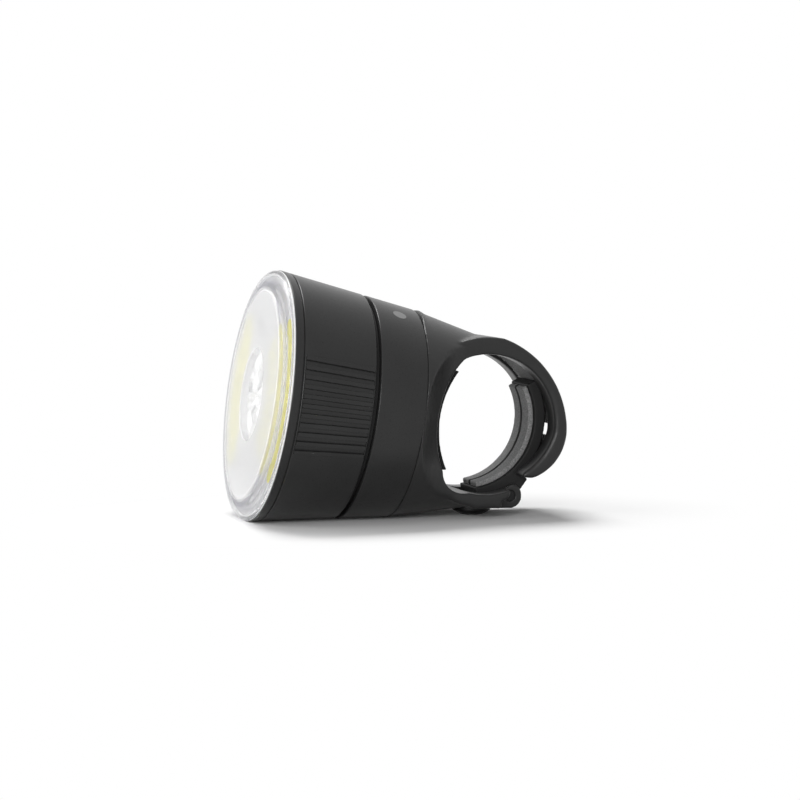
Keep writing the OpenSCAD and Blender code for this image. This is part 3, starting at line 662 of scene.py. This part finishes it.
def make_optic():
    """Centre optic: a clear tapered body whose face is cut into rings of small pyramids."""
    foot, rim, cut = 5.0 * MM, 0.9 * MM, 0.7 * MM
    dimple, dimple_side, dimple_top = 2.6 * MM, 1.6 * MM, 2 * MM
    steps, bulge = 12, 0.7
    ahead, radii = stations("collimator")
    back, front, radius = BOARD_FRONT + 1.4 * MM, ahead.max(), radii.max()
    tones = []
    bm = bmesh.new()

    def ring(r, u):
        return [bm.verts.new(beam_point(r, math.tau * k / OPTIC_TURNS, u)) for k in range(OPTIC_TURNS)]

    inner, inner_r = [bm.verts.new(BEAM * (front - cut))], 0.0
    for i, (share, count) in enumerate(OPTIC_RINGS):
        outer, outer_r = ring(share * radius, front - cut), share * radius
        wide = OPTIC_TURNS // count
        for k in range(count):
            first = k * wide
            edge = [outer[(first + j) % OPTIC_TURNS] for j in range(wide + 1)]
            if len(inner) > 1:
                edge += [inner[(first + j) % OPTIC_TURNS] for j in range(wide, -1, -1)]
            else:
                edge += inner
            turn = math.tau * (first + wide / 2) / OPTIC_TURNS
            bridge(bm, edge, [bm.verts.new(beam_point((inner_r + outer_r) / 2, turn, front))])
            # Each pyramid takes a level of painted refraction, in a fixed order
            place = OPTIC_STRIDES[0] * k + OPTIC_STRIDES[1] * i
            tones += [OPTIC_PATTERN[place % len(OPTIC_PATTERN)]] * len(edge)
        inner, inner_r = outer, outer_r
    side = [(radius, front - cut), (radius, front - rim)]
    for k in range(1, steps + 1):
        side.append((foot + (radius - foot) * (1 - k / steps) ** bulge,
                     front - rim - (front - rim - back) * k / steps))
    side += [(dimple, back), (dimple, back + dimple_side)]
    walls = [inner] + [ring(r, u) for r, u in side]
    for a, b in zip(walls, walls[1:]):
        bridge(bm, a, b)
    bridge(bm, [bm.verts.new(BEAM * (back + dimple_top))], walls[-1])
    mesh = solid("optic", bm, OPTIC_SHARP_ANGLE)
    obj = new_object("optic", mesh, OPTIC_REFRACTION_PAINTS[0], "head")
    for material in OPTIC_REFRACTION_PAINTS[1:]:
        add_material(mesh, material)
    for face, tone in zip(mesh.polygons, tones):
        face.material_index = tone
    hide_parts("collimator")


# Dock


def make_dock():
    """Dock ring with a keyed socket and rounded edges."""
    bore, floor = 22.3 * MM, DOCK_BACK + 2.6 * MM
    key_half, key_depth = 2.3 * MM, 1.2 * MM
    back_edge, bore_edge = 0.25 * MM, 0.3 * MM
    segments, slack = 720, 0.01 * MM
    outline = rounded(
        [(0, DOCK_BACK), (DOCK_BACK_R, DOCK_BACK), (DOCK_FRONT_R, DOCK_FRONT), (bore, DOCK_FRONT),
         (bore, floor), (0, floor)],
        [0, back_edge, SEAM_ROUND, bore_edge, 0, 0],
    )
    mesh = lathe("dock", outline, segments)
    for v in mesh.vertices:
        out = spoke(v.co)
        on_bore = abs(out.length - bore) < bore_edge + slack and v.co.dot(BEAM) > floor - slack
        if on_bore and abs(out.dot(ACROSS)) < key_half and out.dot(RISE) > 0:
            v.co += out.normalized() * key_depth
    obj = new_object("dock", mesh, CASING, "base")
    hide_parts("dock_cup")


def make_dot():
    """Printed index dot that follows the dock's curve."""
    size, proud, thick = 1.7 * MM, 0.03 * MM, 0.3 * MM
    rows, sides = 6, 64
    centre = Vector(mesh_places(NODES["index_dot"].data).mean(axis=0))
    u, out = centre.dot(BEAM), spoke(centre)
    middle = math.atan2(out.dot(RISE), out.dot(ACROSS))
    bm = bmesh.new()

    def place(r, k, lift):
        a = math.tau * k / sides
        ahead = u + r * math.sin(a)
        radius = DOCK_BACK_R + (ahead - DOCK_BACK) * DOCK_SLOPE
        return bm.verts.new(beam_point(radius + lift, middle + r * math.cos(a) / radius, ahead))

    levels = [[place(0, 0, proud)]]
    levels += [[place(size * i / rows, k, proud) for k in range(sides)] for i in range(1, rows + 1)]
    levels += [[place(size, k, -thick) for k in range(sides)], [place(0, 0, -thick)]]
    for a, b in zip(levels, levels[1:]):
        bridge(bm, a, b)
    obj = new_object("dot", solid("dot", bm), DOT, "base")
    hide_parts("index_dot")


# Clamp moulding: the base and the strap are one soft-edged form at rest

VOXEL = 0.32 * MM
SMOOTHING = 0.5
FIRST_ROUNDS = 2
SOFT_ROUNDS = 22
RIM_ROUNDS = 30
SPLIT_Y = -2.0 * MM
STRAP_FLOOR = -12.4 * MM
CHANNEL_HALF = 7.1 * MM


def add_box(bm, low, high):
    """Adds a box between two corners in clamp coordinates."""
    for v in bmesh.ops.create_cube(bm, size=1)["verts"]:
        v.co = clamp_point(*[(a + b) / 2 + k * (b - a) for a, b, k in zip(low, high, v.co)])


def applied(obj):
    """The object's mesh with its modifiers applied."""
    bpy.context.view_layer.update()
    graph = bpy.context.evaluated_depsgraph_get()
    mesh = bpy.data.meshes.new_from_object(obj.evaluated_get(graph))
    obj.modifiers.clear()
    return mesh


def smooth_by(obj, weights, rounds):
    """Smooths a mesh object, vertex by vertex, in proportion to the weights."""
    group = obj.vertex_groups.new(name="softness")
    levels = np.round(weights, 2)
    for level in np.unique(levels):
        if level > 0:
            group.add([int(i) for i in np.flatnonzero(levels == level)], float(level), "REPLACE")
    modifier = obj.modifiers.new("soften", "SMOOTH")
    modifier.factor = SMOOTHING
    modifier.iterations = rounds
    modifier.vertex_group = group.name
    obj.data = applied(obj)
    obj.vertex_groups.clear()


def remeshed(name, bm, voxel, rounds):
    """An object with a form's shape in a fine, even mesh, smoothed all over."""
    mesh = bpy.data.meshes.new(name)
    bm.to_mesh(mesh)
    bm.free()
    obj = linked(name, mesh)
    remesh = obj.modifiers.new("remesh", "REMESH")
    remesh.mode = "VOXEL"
    remesh.voxel_size = voxel
    obj.data = applied(obj)
    smooth_by(obj, np.ones(len(obj.data.vertices)), rounds)
    return obj


def softness(places):
    """How much each part of the moulding is rounded: least at the dock, the eye, the hinge and the screw."""
    x, y, z = places.T
    dock_at, dock_fade = 18.6 * MM, 2.0 * MM
    hinge_r, hinge_fade, hinge_least = 3.6 * MM, 4.0 * MM, 0.12
    screw_half, screw_below, screw_ahead, screw_kept = 8.4 * MM, 14 * MM, 4 * MM, 0.85
    half_fade, below_fade, ahead_fade = 1.2 * MM, 1.5 * MM, 2 * MM
    eye_r, eye_fade, eye_ahead, eye_kept = 21 * MM, 3 * MM, 3 * MM, 0.6
    dock = soft_step(y + dock_at, dock_fade)
    hinge = soft_step(np.hypot(y - HINGE_PIN[1], z - HINGE_PIN[2]) - hinge_r, hinge_fade)
    screw = 1 - (screw_kept * soft_step(screw_half - np.abs(x), half_fade)
                 * soft_step(-z - screw_below, below_fade) * soft_step(y + screw_ahead, ahead_fade))
    eye = 1 - eye_kept * soft_step(eye_r - np.hypot(y, z), eye_fade) * soft_step(-y - eye_ahead, ahead_fade)
    return np.clip(dock * (hinge_least + (1 - hinge_least) * hinge) * screw * eye, 0, 1)


def strap_softness(places):
    """Extra rounding of the strap's two rims."""
    x, y, z = places.T
    floor_share, rim_fade = 0.15, 1.5 * MM
    from_y, root_fade, end_fade = 1 * MM, 6 * MM, 0.5 * MM
    rim = floor_share + (1 - floor_share) * soft_step(np.abs(x) - CHANNEL_HALF, rim_fade)
    return rim * soft_step(y - from_y, root_fade) * soft_step(z - STRAP_FLOOR, end_fade)


def open_seam(mesh):
    """Draws the front edge back at the top, where the photograph shows a dark wedge behind the dock."""
    half, fade = math.radians(38), math.radians(36)
    most, depth = 1.3 * MM, 3.6 * MM
    places = clamp_places(mesh)
    x, y, z = places.T
    wedge = soft_step(half - np.abs(np.arctan2(x, z)), fade)
    drawn = most * wedge * (1 - soft_step(y + DOCK_BACK, depth))
    places[:, 1] += drawn
    mesh.vertices.foreach_set("co", (places @ TO_CLAMP).ravel())
    mesh.update()


def join_root(bm):
    """Adds boxes that join the strap to the base at its root, one across and one down each rim."""
    half, channel, reach = 13.6 * MM, 7.6 * MM, 0.7 * MM
    across_low, across_high = 1.8 * MM, 0.25 * MM
    rim_low, rim_high = 4.0 * MM, 0.5 * MM
    _, y, z = STRAP_ROOT
    add_box(bm, (-half, y - reach, z - across_low), (half, y + reach, z - across_high))
    for low, high in ((-half, -channel), (channel, half)):
        add_box(bm, (low, y - reach, z - rim_low), (high, y + reach, z - rim_high))


def make_moulding():
    """Base and strap as one remeshed form, softened and then parted across the ring's top, at the strap's
    root.
    """
    bm = bmesh.new()
    for name in ("clamp_base", "strap"):
        bm.from_mesh(NODES[name].data)
    join_root(bm)
    obj = remeshed("moulding", bm, VOXEL, FIRST_ROUNDS)
    smooth_by(obj, softness(clamp_places(obj.data)), SOFT_ROUNDS)
    smooth_by(obj, strap_softness(clamp_places(obj.data)), RIM_ROUNDS)
    open_seam(obj.data)
    part_moulding(obj)


def grain_channel(mesh):
    """Gives the floor of the strap's channel, which faces the bar, its grainy finish."""
    facing = 0.4
    grain = add_material(mesh, CHANNEL_GREY)
    for face in mesh.polygons:
        x, y, z = TO_CLAMP @ np.array(face.center)
        inward = -(TO_CLAMP @ np.array(face.normal))[1:] @ np.array((y, z)) / math.hypot(y, z)
        if abs(x) < CHANNEL_HALF and inward > facing:
            face.material_index = grain


def cut_part(name, bm, of_strap):
    """The mesh of the strap or of the base from the cut moulding, closed, with the shading of the whole."""
    part = bm.copy()
    whole = part.verts.layers.float_vector["whole_normal"]
    away = []
    for face in part.faces:
        _, y, z = TO_CLAMP @ np.array(face.calc_center_median())
        if (y > SPLIT_Y and z > STRAP_FLOOR) != of_strap:
            away.append(face)
    bmesh.ops.delete(part, geom=away, context="FACES")
    rims = [edge for edge in part.edges if edge.is_boundary]
    caps = set(bmesh.ops.holes_fill(part, edges=rims, sides=0)["faces"])
    bmesh.ops.recalc_face_normals(part, faces=part.faces)
    part.normal_update()
    normals = []
    for face in part.faces:
        for loop in face.loops:
            normals.append(tuple(face.normal if face in caps else loop.vert[whole].normalized()))
    mesh = bpy.data.meshes.new(name)
    part.to_mesh(mesh)
    part.free()
    mesh.shade_smooth()
    mesh.normals_split_custom_set(normals)
    mesh.attributes.remove(mesh.attributes["whole_normal"])
    return mesh


def part_moulding(obj):
    """Cuts the moulding across the ring's top into the base and the strap."""
    bm = bmesh.new()
    bm.from_mesh(obj.data)
    bpy.data.objects.remove(obj)
    bm.normal_update()
    whole = bm.verts.layers.float_vector.new("whole_normal")
    for v in bm.verts:
        v[whole] = v.normal
    bmesh.ops.bisect_plane(bm, geom=bm.verts[:] + bm.edges[:] + bm.faces[:], dist=1e-7,
                           plane_co=clamp_point(0, SPLIT_Y, 0), plane_no=-BEAM)
    piece = new_object("clamp_body", cut_part("clamp_body", bm, False), RUBBER, "base")
    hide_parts("clamp_base")
    mesh = cut_part("strap_band", bm, True)
    piece = new_object("strap_band", mesh, RUBBER, None)
    grain_channel(mesh)
    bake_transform(piece)
    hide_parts("strap")
    bm.free()


# Saddle and jaw: moulded pieces with rounded edges

SADDLE_MIDDLE_Z = 0.5 * MM
SADDLE_LIP_Y = -11.95 * MM
SADDLE_LIP_R = 24 * MM
SADDLE_LIP_BACK = 2.6 * MM
SADDLE_LIP_FROM = 8.6 * MM
SADDLE_STEPS = 24
PAD_GAP = 0.4 * MM


def prism(bm, outline, low, high):
    """Adds a solid with an outline of (y, z) points in clamp coordinates, from low to high across."""
    sides = [[bm.verts.new(clamp_point(x, y, z)) for y, z in outline] for x in (low, high)]
    bridge(bm, *sides)
    for side in sides:
        bm.faces.new(side)
    bmesh.ops.recalc_face_normals(bm, faces=bm.faces)


def add_saddle_lips(bm):
    """Adds soft lips along the saddle's two sides that stand proud towards the bar."""
    places = clamp_places(NODES["saddle_pad"].data)
    low, high = places.min(axis=0), places.max(axis=0)
    heights = [low[2] + (high[2] - low[2]) * k / SADDLE_STEPS for k in range(SADDLE_STEPS + 1)]
    centre = SADDLE_LIP_Y + SADDLE_LIP_R
    face = [(centre - math.sqrt(SADDLE_LIP_R ** 2 - (z - SADDLE_MIDDLE_Z) ** 2), z) for z in heights]
    back = [(y - SADDLE_LIP_BACK, z) for y, z in reversed(face)]
    for start, end in ((low[0], -SADDLE_LIP_FROM), (SADDLE_LIP_FROM, high[0])):
        prism(bm, face + back, start, end)


def soft_piece(name, node, material, body, voxel, rounds, extra=None):
    """A CAD node's shape, remeshed finely and smoothed so that its edges are rounded."""
    bm = bmesh.new()
    bm.from_mesh(NODES[node].data)
    if extra:
        extra(bm)
    obj = remeshed(name, bm, voxel, rounds)
    mesh = obj.data
    bpy.data.objects.remove(obj)
    mesh.shade_smooth()
    piece = new_object(name, mesh, material, body)
    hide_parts(node)
    return mesh


def paint_gap_shade(mesh):
    """Paints shade on the side of a jaw pad that faces the other pad, in the saddle's dark rubber, where the
    gap between them is shaded.
    """
    inner = min(abs(v.co.x) for v in mesh.vertices)
    dark = add_material(mesh, SADDLE_RUBBER_AND_GAP_SHADE)
    # Faces at the inner side of the pad take the dark rubber as painted shade
    for face in mesh.polygons:
        if abs(face.center.x) < inner + PAD_GAP:
            face.material_index = dark


def make_grips():
    """Saddle pad, jaw and the two jaw pads."""
    soft_piece("saddle", "saddle_pad", SADDLE_RUBBER_AND_GAP_SHADE, "base",
               voxel=0.25 * MM, rounds=14, extra=add_saddle_lips)
    soft_piece("jaw_carrier", "jaw", INNER, "jaw", voxel=0.22 * MM, rounds=5)
    for side in ("left", "right"):
        paint_gap_shade(soft_piece(f"grip_{side}", f"jaw_pad_{side}", PAD_GREY, "jaw",
                              voxel=0.18 * MM, rounds=10))


# Pieces that keep their CAD shape, with the widths in millimetres by which some edges are rounded

FINISHES = {
    "led_board": BOARD_WHITE, "spot_led": PHOSPHOR, "heat_sink": ALUMINIUM, "lens_seal": SEAL,
    "control_board": BOARD, "battery": CELL, "battery_cradle": INNER, "case_screws": STEEL,
    "rear_bulkhead": INNER, "plug_neck": INNER, "plug_cup": INNER, "plug_seal": SEAL,
    "retaining_ring": STEEL, "plug_magnets": NICKEL, "charge_port": STEEL, "port_board": BOARD,
    "dock_plate": STEEL, "dock_screws": STEEL, "hinge_pin": BLACK_STEEL, "clamp_screw": BLACK_STEEL,
    "clamp_nut": STEEL,
}
SOFT_EDGES = {
    "plug_neck": 0.12, "plug_cup": 0.25, "hinge_pin": 0.2, "clamp_screw": 0.2, "charge_port": 0.1,
    "plug_magnets": 0.15, "dock_screws": 0.15, "dock_plate": 0.15, "clamp_nut": 0.1,
}
EDGE_SEGMENTS = 3
EDGE_ANGLE = math.radians(40)
WELD_WITHIN = 0.0005 * MM


def finish_nodes():
    """Gives each kept CAD node its material, and rounds the edges of those that show."""
    for name, material in FINISHES.items():
        node = NODES[name]
        node.data.materials.clear()
        node.data.materials.append(material)
        weld = node.modifiers.new("weld", "WELD")
        weld.merge_threshold = WELD_WITHIN
        if name in SOFT_EDGES:
            bevel = node.modifiers.new("soft_edges", "BEVEL")
            bevel.width = SOFT_EDGES[name] * MM
            bevel.segments = EDGE_SEGMENTS
            bevel.limit_method = "ANGLE"
            bevel.angle_limit = EDGE_ANGLE


# Stage: the floor, and the ellipse round the object over which it turns white

FLOOR_Z = cad_box[0].z
FLOOR_HALF = 6.0
FLOOR_BOUNCE = 0.75
FADE_MIDDLE = (0, -0.02, FLOOR_Z)
FADE_SCALE = (1.5, 1, 1)
FADE_FROM = 0.045
FADE_TO = 0.095

# Light: the strength of the surroundings, and each softbox's place, size in metres and power in watts
WORLD_LIGHT = 0.2
LIGHT_AIM = Vector((0, -0.01, 0))
LIGHTS = {
    "key": ((-0.32, -0.08, 0.69), 0.4, 4.8),
    "front": ((0.1, -0.8, 0.3), 0.5, 2.8),
    "side": ((0.66, -0.35, 0.17), 0.34, 3.2),
}

# Camera: where it looks from, and the photograph's focal length as a share of its width
AZIMUTH = math.radians(74.6)
ELEVATION = math.radians(4.0)
DISTANCE = 700 * MM
AIM = Vector((0, -12.966 * MM, 1.868 * MM))
ASIDE = -5.31 * MM
ABOVE = 3.95 * MM
FOCAL_SHARE = 2808.4 / 800


def seen_directly(tree):
    """1 for what is seen, in a mirror or through glass too, and 0 for light that falls on the object."""
    path = tree.nodes.new("ShaderNodeLightPath")
    seen = path.outputs["Is Camera Ray"]
    for other in ("Is Glossy Ray", "Is Transmission Ray"):
        seen = math_node(tree, "MAXIMUM", seen, path.outputs[other])
    return seen


def make_floor():
    """Wide pale floor that keeps the object's shadow and whitens with distance from it."""
    low, high = -FLOOR_HALF, FLOOR_HALF
    mesh = bpy.data.meshes.new("floor")
    corners = [(x, y, FLOOR_Z) for x, y in ((low, low), (high, low), (high, high), (low, high))]
    mesh.from_pydata(corners, [], [(0, 1, 2, 3)])
    material, tree, shader = new_material("floor")
    tree.nodes.remove(shader)
    seen = seen_directly(tree)
    paint = two_tone(tree, object_noise(tree, scale=40), grey(0.94), grey(0.96))
    pale = tree.nodes.new("ShaderNodeBsdfDiffuse")
    tree.links.new(mix_colours(tree, seen, (*grey(FLOOR_BOUNCE), 1), paint), pale.inputs["Color"])
    off = vector_math(tree, "SUBTRACT", object_place(tree), FADE_MIDDLE)
    away = vector_math(tree, "LENGTH", vector_math(tree, "MULTIPLY", off, FADE_SCALE))
    fade = tree.nodes.new("ShaderNodeMapRange")
    fade.interpolation_type = "SMOOTHSTEP"
    fade.inputs["From Min"].default_value = FADE_FROM
    fade.inputs["From Max"].default_value = FADE_TO
    tree.links.new(away, fade.inputs["Value"])
    share = math_node(tree, "MULTIPLY", fade.outputs["Result"], seen)
    white = tree.nodes.new("ShaderNodeEmission")
    mix = mix_shaders(tree, share, pale.outputs["BSDF"], white.outputs["Emission"])
    tree.links.new(mix, tree.nodes["Material Output"].inputs["Surface"])
    obj = linked("floor", mesh)
    mesh.materials.append(material)


def make_world():
    """White surroundings that light the object softly."""
    world = bpy.data.worlds.new("studio")
    bpy.context.scene.world = world
    world.use_nodes = True
    tree = world.node_tree
    tree.nodes.clear()
    shaders = []
    for strength in (WORLD_LIGHT, 1.0):
        shader = tree.nodes.new("ShaderNodeBackground")
        shader.inputs["Color"].default_value = (1, 1, 1, 1)
        shader.inputs["Strength"].default_value = strength
        shaders.append(shader.outputs["Background"])
    output = tree.nodes.new("ShaderNodeOutputWorld")
    tree.links.new(mix_shaders(tree, seen_directly(tree), *shaders), output.inputs["Surface"])


def make_lights():
    """Square softboxes above and behind, ahead of the lens and on the camera's side."""
    for name, (place, size, power) in LIGHTS.items():
        light = bpy.data.lights.new(name, "AREA")
        light.shape = "SQUARE"
        light.size = size
        light.energy = power
        obj = linked(name, light)
        obj.location = place
        obj.rotation_euler = (LIGHT_AIM - Vector(place)).to_track_quat("-Z", "Y").to_euler()


def make_camera():
    """Camera at the photograph's viewing angle: nearly side on, a little above and ahead of the lens."""
    level = math.cos(ELEVATION)
    back = Vector((math.sin(AZIMUTH) * level, -math.cos(AZIMUTH) * level, math.sin(ELEVATION)))
    right = Vector((math.cos(AZIMUTH), math.sin(AZIMUTH), 0))
    up = back.cross(right)
    data = bpy.data.cameras.new("camera")
    data.sensor_width = 36
    data.lens = FOCAL_SHARE * data.sensor_width
    data.clip_start, data.clip_end = 0.01, 50
    camera = linked("camera", data)
    camera.location = AIM + back * DISTANCE + right * ASIDE + up * ABOVE
    camera.rotation_euler = (-back).to_track_quat("-Z", "Y").to_euler()
    bpy.context.scene.camera = camera


make_camera()
make_shell()
make_bezel()
make_lens()
make_tray()
make_phosphor()
make_optic()
make_dock()
make_dot()
make_moulding()
make_grips()
finish_nodes()
make_floor()
make_world()
make_lights()
bpy.context.scene.view_settings.view_transform = "Standard"
